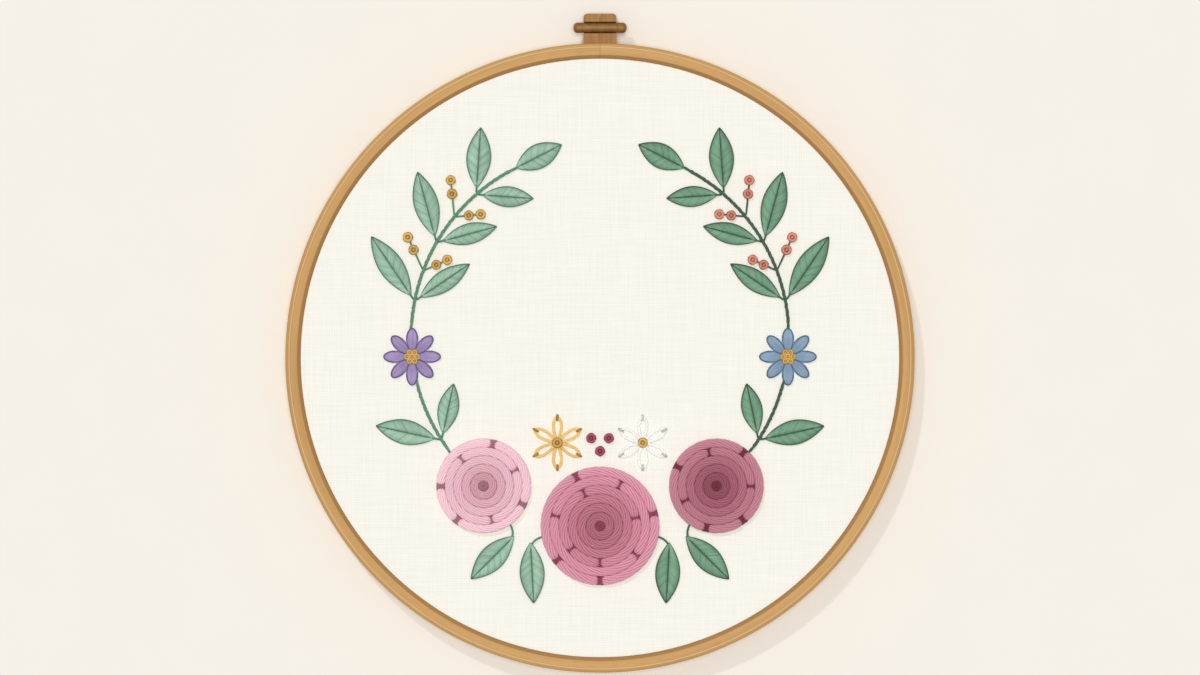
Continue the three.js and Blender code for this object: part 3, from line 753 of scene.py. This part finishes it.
def stitch(start, end, rise, steps=STITCH_POINTS, ease=STITCH_EASE, via=None, **carried):
    """One stitch that comes up through the cloth, lies over it and goes down again, straight or drawn
    towards a point on its way."""
    share = eased(steps)[:, None]
    if via is None:
        via = (start + end) / 2
    flat = (1 - share) ** 2 * start + 2 * share * (1 - share) * via + share**2 * end
    lift = np.sin(pi * share[:, 0]).clip(0, 1) ** ease
    look = {"phase": draw.uniform(0, tau), "tone": draw.normal(0, 1), **carried}
    return path_of(flat, (rise + STITCH_SINK) * lift - STITCH_SINK, **look)


def corner_points(node):
    """The points of a frame node, as rows of x, y, z."""
    return np.array([vertex.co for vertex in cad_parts[node].data.vertices])


def heading(turn):
    """The direction, or the row of directions, at a turn from X."""
    return np.stack([np.cos(turn), np.sin(turn)], axis=-1)


def vine_stitches(side, run):
    """Stem stitches along the arc that a vine's solid covers, and on to the petals of its aster. Turns
    are from straight down, to the right."""
    points = corner_points(f"vine_{side}_{run}")
    turns = np.arctan2(points[:, 0], WREATH_Y - points[:, 1])
    onward = copysign(1, turns[0])
    before, after = VINE_REACH[run]
    low = turns[np.abs(turns).argmin()] - onward * before / WREATH_RADIUS
    high = turns[np.abs(turns).argmax()] + onward * after / WREATH_RADIUS
    count = round(abs(high - low) * WREATH_RADIUS / STEM_SPACING)
    half = STEM_STITCH / WREATH_RADIUS / 2
    tuck = onward * STEM_TUCK * half
    paths = []
    for i, place in enumerate(np.linspace(low + tuck, high - tuck, count) - pi / 2):
        start = WREATH_MIDDLE + (WREATH_RADIUS - STEM_SLANT) * heading(place - half)
        end = WREATH_MIDDLE + (WREATH_RADIUS + STEM_SLANT) * heading(place + half)
        paths.append(stitch(start, end, STEM_RISE, tone=STEM_TONE * (-1) ** i))
    return paths


vine_slots = {"left": "floss_stem_mid", "right": "floss_stem_dark"}
add_floss("floss_stem_mid", (66, 108, 82), (98, 148, 117))
add_floss("floss_stem_dark", (44, 66, 50), (66, 94, 72))
for side, slot in vine_slots.items():
    nodes = [f"vine_{side}_{run}" for run in VINE_REACH]
    paths = [path for run in VINE_REACH for path in vine_stitches(side, run)]
    sew(f"vine_{side}_floss", paths, STEM_FLOSS, slot, *nodes)

# Leaves
# Fishbone stitch in three strands: from the stalk to the tip, flat stitches slant in from both edges
# and meet at the midrib. One finer, darker thread lines the midrib and another runs round the edge, over
# the padding thread that the stitches start from.
LEAF_STITCHES = 28
LEAF_FIRST = 0.05
LEAF_LAST = 0.97
LEAF_INSET = 0.3 * MM
LEAF_POINTS = 6
LEAF_RISE = 0.66 * MM
LEAF_CROSSING = 0.3 * MM
LEAF_BLUNTNESS = 0.85
LEAF_SWEEP = 1.5
LEAF_TIP_RUN = 0.86
LEAF_TIP_GIRTH = 0.6
LEAF_TIP_FADE = 0.16
# How dark a leaf stitch is painted at its ends, as shade.
LEAF_END_SHADE = 0.55
LEAF_CREST_FROM = 0.05
LEAF_CREST_POWER = 0.7
LEAF_HALF_TONE = 0.9
LEAF_TONE_SPREAD = 0.9
LEAF_PHASE_SPREAD = 0.15
LEAF_STREAK = 2.4
LEAF_STREAK_EVERY = 4
VEIN_SHARE = 0.99
VEIN_RISE = 1.0 * MM
VEIN_POINTS = 32
VEIN_EASE = 0.2
VEIN_LOOK = {"shade": 0.0, "girth": 0.5, "tone": 0.0}
PETIOLE_RISE = 0.75 * MM
PETIOLE_OUTSIDE = 1.6 * MM
PETIOLE_INSIDE = 2.2 * MM
PETIOLE_LOOK = {"shade": 0.1, "girth": 0.85, "tone": 0.0}
FAN_BEND = 1.4 * MM
FAN_TUCK = 1.2 * MM
FAN_POINTS = 14
EDGE_STEPS = 40
EDGE_RISE = 0.5 * MM
EDGE_LOOK = {"shade": 0.0, "girth": 0.42}
PADDING_RISE = 0.2 * MM
PADDING_LOOK = {"shade": 0.4, "girth": 0.8}
SIDE_BY_SIDE = pi / 2
NO_TWIST = 1000 * MM
LEAF_FLOSS = dict(Strands=3, Strand=0.21 * MM, Bundle=0.24 * MM, Twist=NO_TWIST, Flatness=0.25, Sides=5)


def left_of(along):
    """The direction square to another, to its left."""
    return np.array([-along[1], along[0]])


def line_of(node):
    """A leaf's or sprig's two ends on the cloth, the stalk end first, and its width."""
    points = corner_points(node)[:, :2]
    middle = points.mean(axis=0)
    spread = points - middle
    axis = np.linalg.eigh(spread.T @ spread)[1][:, 1]
    reach = spread @ axis
    ends = [middle + axis * reach.min(), middle + axis * reach.max()]
    width = np.ptp(spread @ left_of(axis))
    away = [abs(np.hypot(end[0], end[1] - WREATH_Y) - WREATH_RADIUS) for end in ends]
    if away[1] < away[0]:
        ends.reverse()
    return ends[0], ends[1], width


def disc_of(node, axis=0):
    """The middle of a round node on the cloth, and its radius along X or Y."""
    low, high = np.array(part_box(node))
    return (low + high)[:2] / 2, (high - low)[axis] / 2


def fan_end(corner):
    """Where a fan leaf's stalk goes under the rim of the rose that is nearest to its bend."""
    discs = [disc_of(f"rose_{place}") for place in ("foot", "left", "right")]
    middle, radius = min(discs, key=lambda disc: np.linalg.norm(corner - disc[0]) - disc[1])
    outward = (corner - middle) / np.linalg.norm(corner - middle)
    return middle + outward * (radius - FAN_TUCK)


def leaf_stitches(node):
    """Fishbone stitches over a leaf, with its midrib, stalk, edge and padding."""
    stalk, tip, width = line_of(node)
    length = np.linalg.norm(tip - stalk)
    along = (tip - stalk) / length
    across = left_of(along)

    def edge_at(share, side, inset):
        half = width / 2 * np.sin(pi * share).clip(0, 1) ** LEAF_BLUNTNESS
        return stalk + along * length * share + across * side * max(half - inset, 0)

    # Each stitch is painted darker towards both ends, where it dives into the cloth, as shade.
    crest = LEAF_CREST_FROM + (1 - 2 * LEAF_CREST_FROM) * eased(LEAF_POINTS)
    crest = np.sin(pi * crest) ** LEAF_CREST_POWER
    shade = LEAF_END_SHADE + (1 - LEAF_END_SHADE) * crest
    paths = []
    for i, share in enumerate(np.linspace(LEAF_FIRST, LEAF_LAST, LEAF_STITCHES)):
        girth = LEAF_TIP_GIRTH + (1 - LEAF_TIP_GIRTH) * min(1, (1 - share) / LEAF_TIP_FADE)
        streak = LEAF_STREAK * (1 / LEAF_STREAK_EVERY - (i % LEAF_STREAK_EVERY == 1))
        for side in (-1, 1):
            start = edge_at(share, side, LEAF_INSET * (1 - share))
            end = stalk + along * length * LEAF_TIP_RUN * share**LEAF_SWEEP - across * side * LEAF_CROSSING
            look = {
                "tone": side * LEAF_HALF_TONE + draw.normal(0, LEAF_TONE_SPREAD) + streak,
                "phase": SIDE_BY_SIDE + draw.normal(0, LEAF_PHASE_SPREAD),
                "shade": shade,
                "girth": girth,
            }
            paths.append(stitch(start, end, LEAF_RISE, steps=LEAF_POINTS, **look))
    vein_end = stalk + along * length * VEIN_SHARE
    paths.append(stitch(stalk, vein_end, VEIN_RISE, VEIN_POINTS, VEIN_EASE, **VEIN_LOOK))
    inside = stalk + along * PETIOLE_INSIDE
    if "fan" in node:
        bend = stalk - along * FAN_BEND
        paths.append(stitch(fan_end(bend), inside, PETIOLE_RISE, FAN_POINTS, via=bend, **PETIOLE_LOOK))
    else:
        paths.append(stitch(stalk - along * PETIOLE_OUTSIDE, inside, PETIOLE_RISE, **PETIOLE_LOOK))
    for side in (-1, 1):
        rims = ((0.0, EDGE_RISE, EDGE_LOOK), (LEAF_INSET, PADDING_RISE, PADDING_LOOK))
        for inset, rise, look in rims:
            flat = np.array([edge_at(share, side, inset) for share in eased(EDGE_STEPS)])
            rises = np.full(EDGE_STEPS, rise)
            rises[[0, -1]] = -STITCH_SINK
            paths.append(path_of(flat, rises, **look))
    return paths


leaf_slots = {"left": "floss_leaf_light", "right": "floss_leaf_dark"}
add_floss("floss_leaf_light", (84, 128, 102), (140, 178, 152), (164, 198, 174))
add_floss("floss_leaf_dark", (58, 94, 70), (104, 146, 116), (126, 168, 138))
for side, slot in leaf_slots.items():
    nodes = sorted(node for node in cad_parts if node.startswith(f"leaf_{side}"))
    paths = [path for node in nodes for path in leaf_stitches(node)]
    sew(f"leaves_{side}_floss", paths, LEAF_FLOSS, slot, *nodes)

# Berry sprigs
# French knots in stranded floss, set along a thin green straight stitch. The thread comes up in the
# middle, is wound out to a wide foot and up to a narrower ring, and ends in a tight coil in its hollow.
KNOT_RADIUS = 1.8 * MM
SPRIG_KNOT_SPACING = {"outer": 4.6 * MM, "inner": 4.0 * MM}
STALK_RISE = 0.5 * MM
STALK_REACH = 1.3 * MM
STALK_GIRTH = 0.8
KNOT_POINTS = 108
KNOT_SIZES = (0.96, 1.04)
KNOT_SHADES = (0.0, 0.35, 1.0)
LIGHT_KNOT = 0.2
DEEP_KNOT = -2.2
KNOT_TONE_SPREAD = 0.3
# In the coil's shade column, the rim of the foot and the groove inside the ring are painted dark as shade,
# and the ring and the middle paler as lit.
KNOT_COIL = {
    "turns": (0.0, 0.8, 1.1, 2.0, 2.2, 3.2, 3.4, 4.2, 4.4, 5.4),
    "radius": (0.36, 0.4, 1.28, 1.28, 1.12, 1.12, 0.66, 0.6, 0.2, 0.14),
    "height": (0.45, 0.45, 0.45, 0.5, 1.15, 1.2, 1.0, 1.0, 1.05, 1.2),
    "girth": (1.0, 1.0, 1.0, 1.0, 0.74, 0.74, 0.45, 0.45, 0.5, 0.5),
    "shade": (0.0, 0.0, 0.2, 0.2, 0.75, 0.75, 0.0, 0.0, 0.7, 0.7),
}
KNOT_FLOSS = dict(Strands=3, Strand=0.29 * MM, Bundle=0.22 * MM, Twist=5 * MM, Flatness=0.9, Sides=6)


def knot_paths(places, tones=(LIGHT_KNOT,), size=1.0, lift=0.0):
    """The threads of French knots at places on the cloth, in a row of tones that repeats."""
    turns = np.linspace(0, KNOT_COIL["turns"][-1], KNOT_POINTS)
    coil = {label: np.interp(turns, KNOT_COIL["turns"], column) for label, column in KNOT_COIL.items()}
    paths = []
    for i, place in enumerate(places):
        scale = size * draw.uniform(*KNOT_SIZES)
        bend = draw.uniform(0, tau) + tau * turns
        tone = tones[i % len(tones)] + draw.normal(0, KNOT_TONE_SPREAD)
        flat = place + coil["radius"][:, None] * scale * MM * heading(bend)
        look = {"girth": coil["girth"] * scale, "shade": coil["shade"], "tone": tone}
        paths.append(path_of(flat, lift + coil["height"] * scale * MM, **look))
    return paths


berry_slots = {"left": "floss_gold", "right": "floss_coral"}
add_floss("floss_gold", (160, 118, 36), (196, 154, 66), (246, 204, 116), places=KNOT_SHADES)
add_floss("floss_coral", (170, 84, 58), (196, 122, 98), (246, 168, 142), places=KNOT_SHADES)
for side, slot in berry_slots.items():
    nodes = [f"sprig_{side}_{flank}_{i}" for flank in ("outer", "inner") for i in (1, 2)]
    places = []
    stalks = []
    for node in nodes:
        stalk, tip, _ = line_of(node)
        along = (tip - stalk) / np.linalg.norm(tip - stalk)
        last = tip - along * KNOT_RADIUS
        places += [last, last - along * SPRIG_KNOT_SPACING[node.split("_")[2]]]
        stalks.append(stitch(stalk - along * STALK_REACH, last, STALK_RISE, girth=STALK_GIRTH))
    knots = knot_paths(places, (LIGHT_KNOT, DEEP_KNOT))
    sew(f"berries_{side}_floss", knots, KNOT_FLOSS, slot, *nodes)
    sew(f"berry_stalks_{side}_floss", stalks, LEAF_FLOSS, vine_slots[side])

# Roses
# Woven wheels of a plump twisted bundle, in rings that are paler towards the rim. Each pass of an outer
# ring goes over two of seven spokes and has round ends where it dives under, painted darker there as
# shade, with a gap before the next where the thread below is painted darkest as shade. The inner rings
# close on themselves round a dark core.
ROSE_SPOKES = 7
ROSE_CORE = 1.7 * MM
ROSE_STRAND = 0.44 * MM
ROSE_STRAND_SHARE = 0.78
ROSE_BASE = 1.05 * MM
ROSE_CROWN = 1.1 * MM
ROSE_SHADES = (0.0, 0.2, 0.5, 0.95)
ROSE_SHADE_FALL = 0.8
ROSE_END = 1.5 * MM
ROSE_END_DIP = 0.5 * MM
ROSE_END_GIRTH = 0.12
# How dark a pass is painted at its ends, where it dives, as shade.
ROSE_END_SHADE = 0.75
ROSE_GAP = 0.5 * MM
ROSE_RIM_GAP = 1.3 * MM
ROSE_TUCK = 1.6 * MM
ROSE_UNDER = 0.55 * MM
ROSE_OVERLAP = 3 * MM
PASS_POINTS = 12
PASS_SPACING = 1.3 * MM
PASS_TONE_SPREAD = 0.35
CORE_POINTS = 40
CORE_TURNS = 2.2
CORE_REACH = (0.78, 0.2)
CORE_RISE = (1.15, 1.35)
CORE_LOOK = {"shade": 0.0, "girth": 0.42}
ROSE_FLOSS = dict(Strands=8, Strand=ROSE_STRAND, Twist=24 * MM, Flatness=0.72, Sides=6)


def woven_pass(middle, radius, turn_from, turn_to, rise, shade):
    """One pass of a ring, which narrows and dips to a round end on both sides, painted darker there as
    shade.
    """
    length = radius * (turn_to - turn_from)
    share = eased(PASS_POINTS + int(length / PASS_SPACING))
    inward = np.clip(1 - np.minimum(share, 1 - share) * length / ROSE_END, 0, 1)
    swell = np.sqrt(1 - inward**2)
    flat = middle + radius * heading(turn_from + (turn_to - turn_from) * share)
    # Painted shade: the pass darkens towards its ends, where it dives.
    look = {
        "girth": ROSE_END_GIRTH + (1 - ROSE_END_GIRTH) * swell,
        "shade": shade * (ROSE_END_SHADE + (1 - ROSE_END_SHADE) * swell),
        "phase": draw.uniform(0, tau),
        "tone": draw.normal(0, PASS_TONE_SPREAD),
    }
    return path_of(flat, rise - ROSE_END_DIP * (1 - swell), **look)


def rose_passes(middle, radius, rows, pitch):
    """The rings of passes, rim first. Rings dive at every second spoke, by turns at the odd and the even
    ones, and in each gap the thread shows below where it goes under, painted in the darkest colour as
    shade."""
    outward = atan2(middle[1] - WREATH_Y, middle[0])
    paths = []
    for row in range(rows):
        out = radius - pitch * (row + 0.5)
        rise = ROSE_BASE + ROSE_CROWN * (1 - (out / radius) ** 2)
        dives = outward + tau * np.arange(row % 2, ROSE_SPOKES, 2) / ROSE_SPOKES
        gap = (ROSE_RIM_GAP if row == 0 else ROSE_GAP) / out / 2
        below = gap + ROSE_TUCK / out
        shade = 1 - ROSE_SHADE_FALL * row / (rows - 1)
        if row >= rows // 2:
            end = dives[0] + tau + ROSE_OVERLAP / out
            paths.append(woven_pass(middle, out, dives[0], end, rise, shade))
            continue
        for start, end in zip(dives, [*dives[1:], dives[0] + tau]):
            paths.append(woven_pass(middle, out, start + gap, end - gap, rise, shade))
            # The thread below, in the gap, is painted in the darkest colour as shade.
            paths.append(woven_pass(middle, out, start - below, start + below, rise - ROSE_UNDER, 0.0))
    reach = ROSE_CORE * np.linspace(*CORE_REACH, CORE_POINTS)
    rise = ROSE_BASE + ROSE_CROWN * np.linspace(*CORE_RISE, CORE_POINTS)
    flat = middle + reach[:, None] * heading(np.linspace(0, CORE_TURNS * tau, CORE_POINTS))
    paths.append(path_of(flat, rise, **CORE_LOOK))
    return paths


rose_rows = {
    "foot": (6, "floss_pink", (144, 60, 82), (183, 106, 125), (204, 126, 146), (228, 158, 178)),
    "left": (5, "floss_pale_pink", (166, 112, 126), (214, 160, 172), (232, 186, 198), (250, 208, 218)),
    "right": (5, "floss_burgundy", (118, 32, 54), (150, 76, 96), (176, 100, 120), (202, 134, 150)),
}
for side, (rows, slot, *colours) in rose_rows.items():
    node = f"rose_{side}"
    add_floss(slot, *colours, places=ROSE_SHADES)
    middle, radius = disc_of(node)
    pitch = (radius - ROSE_CORE) / rows
    paths = rose_passes(middle, radius, rows, pitch)
    floss = {**ROSE_FLOSS, "Bundle": pitch / 2 - ROSE_STRAND * ROSE_STRAND_SHARE}
    sew(f"{node}_floss", paths, floss, slot, node)

# Asters
# Eight petals in satin stitch: side by side threads run from the eye out to each petal's rounded
# edge. The eye is a cluster of small gold French knots.
ASTER_PETALS = 8
PETAL_THREADS = 10
PETAL_INNER = 1.5 * MM
PETAL_HALF_WIDTH = 2.1 * MM
PETAL_ROOT_SHARE = 0.34
PETAL_TIP_INSET = 0.25 * MM
PETAL_TIP_ROUNDING = 0.3
PETAL_TIP_NARROWING = 0.18
PETAL_TIP_POINTS = 11
PETAL_BELLY = 0.3
PETAL_RISE = 0.75 * MM
PETAL_SIDE_FALL = 0.45
PETAL_EASE = 0.35
PETAL_ROOT_SHADE = 0.35
PETAL_TONE = 0.6
PETAL_TONE_SPREAD = 0.5
PETAL_STREAK = 1.6
PETAL_STREAK_EVERY = 3
PETAL_EDGE_RISE = 0.6 * MM
PETAL_EDGE_LOOK = {"shade": 0.0, "girth": 0.55}
EYE_KNOTS = 6
EYE_KNOT_SIZE = 0.6
EYE_RING = 1.7 * MM
EYE_LIFT = 0.4 * MM
SATIN_FLOSS = dict(Strands=2, Strand=0.2 * MM, Bundle=0.17 * MM, Twist=NO_TWIST, Flatness=0.6, Sides=6)


def petal_stitches(middle, radius, turn, petal_tone):
    """Satin stitches of one petal, fanned at the eye and rounded at the tip, and its darker edge."""
    along = heading(turn)
    across = left_of(along) * PETAL_HALF_WIDTH

    def tip_at(side):
        far = radius - (radius - PETAL_INNER) * PETAL_TIP_ROUNDING * side**2 - PETAL_TIP_INSET
        return middle + along * far + across * side * (1 - PETAL_TIP_NARROWING * side**2)

    paths = []
    shade = PETAL_ROOT_SHADE + (1 - PETAL_ROOT_SHADE) * np.sqrt(eased(STITCH_POINTS))
    for i, side in enumerate(np.linspace(-1, 1, PETAL_THREADS)):
        root = middle + along * PETAL_INNER + across * side * PETAL_ROOT_SHARE
        belly = (root + tip_at(side)) / 2 + across * side * PETAL_BELLY
        streak = PETAL_STREAK * (i % PETAL_STREAK_EVERY == 1)
        tone = petal_tone + draw.normal(0, PETAL_TONE_SPREAD) - streak
        look = {"shade": shade, "phase": 0.0, "tone": tone}
        rise = PETAL_RISE * (1 - PETAL_SIDE_FALL * side**2)
        paths.append(stitch(root, tip_at(side), rise, ease=PETAL_EASE, via=belly, **look))
    one_side, other_side = (paths[i]["points"][1:, :2] for i in (0, -1))
    tips = [tip_at(side) for side in np.linspace(-1, 1, PETAL_TIP_POINTS)[1:-1]]
    edge = np.concatenate([one_side, tips, other_side[::-1]])
    paths.append(path_of(edge, PETAL_EDGE_RISE, **PETAL_EDGE_LOOK))
    return paths


aster_slots = {"left": "floss_violet", "right": "floss_blue"}
add_floss("floss_violet", (102, 84, 138), (184, 163, 206))
add_floss("floss_blue", (78, 108, 136), (156, 181, 204))
for side, slot in aster_slots.items():
    middle, radius = disc_of(f"aster_{side}")
    paths = []
    for i in range(ASTER_PETALS):
        turn = tau * i / ASTER_PETALS
        paths += petal_stitches(middle, radius, turn, PETAL_TONE * (-1) ** i)
    sew(f"aster_{side}_floss", paths, SATIN_FLOSS, slot, f"aster_{side}")
    ring = middle + EYE_RING * heading(np.linspace(0, tau, EYE_KNOTS, endpoint=False))
    knots = knot_paths([middle, *ring], size=EYE_KNOT_SIZE, lift=EYE_LIFT)
    sew(f"aster_{side}_eye", knots, KNOT_FLOSS, "floss_gold")

# Loop daisies
# Lazy-daisy stitch: six open loops of floss round a gold French knot, each loop held at its tip by
# a short tie stitch of a deeper thread.
DAISY_LOOPS = 6
LOOP_START = 1.0 * MM
LOOP_HALF_WIDTH = 1.7 * MM
LOOP_TAPER = 0.25
LOOP_OPENING = 0.12
LOOP_POINTS = 22
LOOP_RISE = 0.5 * MM
LOOP_STEEPNESS = 4
LOOP_DIP = 0.3
LOOP_TONE_SPREAD = 0.4
LOOP_PHASE_MOST = 6
TIE_LENGTH = 1.5 * MM
TIE_INSIDE = 0.8 * MM
TIE_OUTSIDE = 0.9 * MM
TIE_RISE = 0.95 * MM
TIE_SHADE = 0.12
LOOP_FLOSS = dict(Strands=3, Strand=0.3 * MM, Bundle=0.21 * MM, Twist=7 * MM, Flatness=0.7, Sides=6)


def loop_stitches(middle, radius, turn):
    """One loop, drawn tight at the middle, and the tie over its tip."""
    along = heading(turn)
    half = (radius - TIE_LENGTH / 2 - LOOP_START) / 2
    bend = np.linspace(LOOP_OPENING, tau - LOOP_OPENING, LOOP_POINTS)
    far = LOOP_START + half * (1 - np.cos(bend))
    wide = LOOP_HALF_WIDTH * np.sin(bend) * (1 - LOOP_TAPER - LOOP_TAPER * np.cos(bend))
    flat = middle + np.outer(far, along) + np.outer(wide, left_of(along))
    rise = LOOP_RISE * np.clip(np.sin(bend / 2) * LOOP_STEEPNESS, -LOOP_DIP, 1)
    look = {"tone": draw.normal(0, LOOP_TONE_SPREAD), "phase": draw.uniform(0, LOOP_PHASE_MOST)}
    tip = LOOP_START + 2 * half
    tie_ends = (middle + along * (tip - TIE_INSIDE), middle + along * (tip + TIE_OUTSIDE))
    return [path_of(flat, rise, **look), stitch(*tie_ends, TIE_RISE, shade=TIE_SHADE)]


daisy_slots = {"left": ("floss_gold", DEEP_KNOT), "right": ("floss_white", LIGHT_KNOT)}
add_floss("floss_white", (198, 197, 192), (255, 255, 253))
for side, (slot, eye_tone) in daisy_slots.items():
    middle, radius = disc_of(f"daisy_{side}", axis=1)
    turns = [pi / 2 + tau * i / DAISY_LOOPS for i in range(DAISY_LOOPS)]
    paths = [path for turn in turns for path in loop_stitches(middle, radius, turn)]
    sew(f"daisy_{side}_floss", paths, LOOP_FLOSS, slot, f"daisy_{side}")
    knots = knot_paths([middle], (eye_tone,), lift=LOOP_RISE)
    sew(f"daisy_{side}_eye", knots, KNOT_FLOSS, "floss_gold")

# Loose knots
# Three wine French knots between the daisies, above the foot rose. They are worked like the
# berries, without a stalk.
add_floss("floss_wine", (108, 34, 56), (144, 56, 80), (190, 84, 112), places=KNOT_SHADES)
nodes = [f"knot_{i}" for i in (1, 2, 3)]
knots = knot_paths([disc_of(node)[0] for node in nodes])
sew("loose_knots_floss", knots, KNOT_FLOSS, "floss_wine", *nodes)
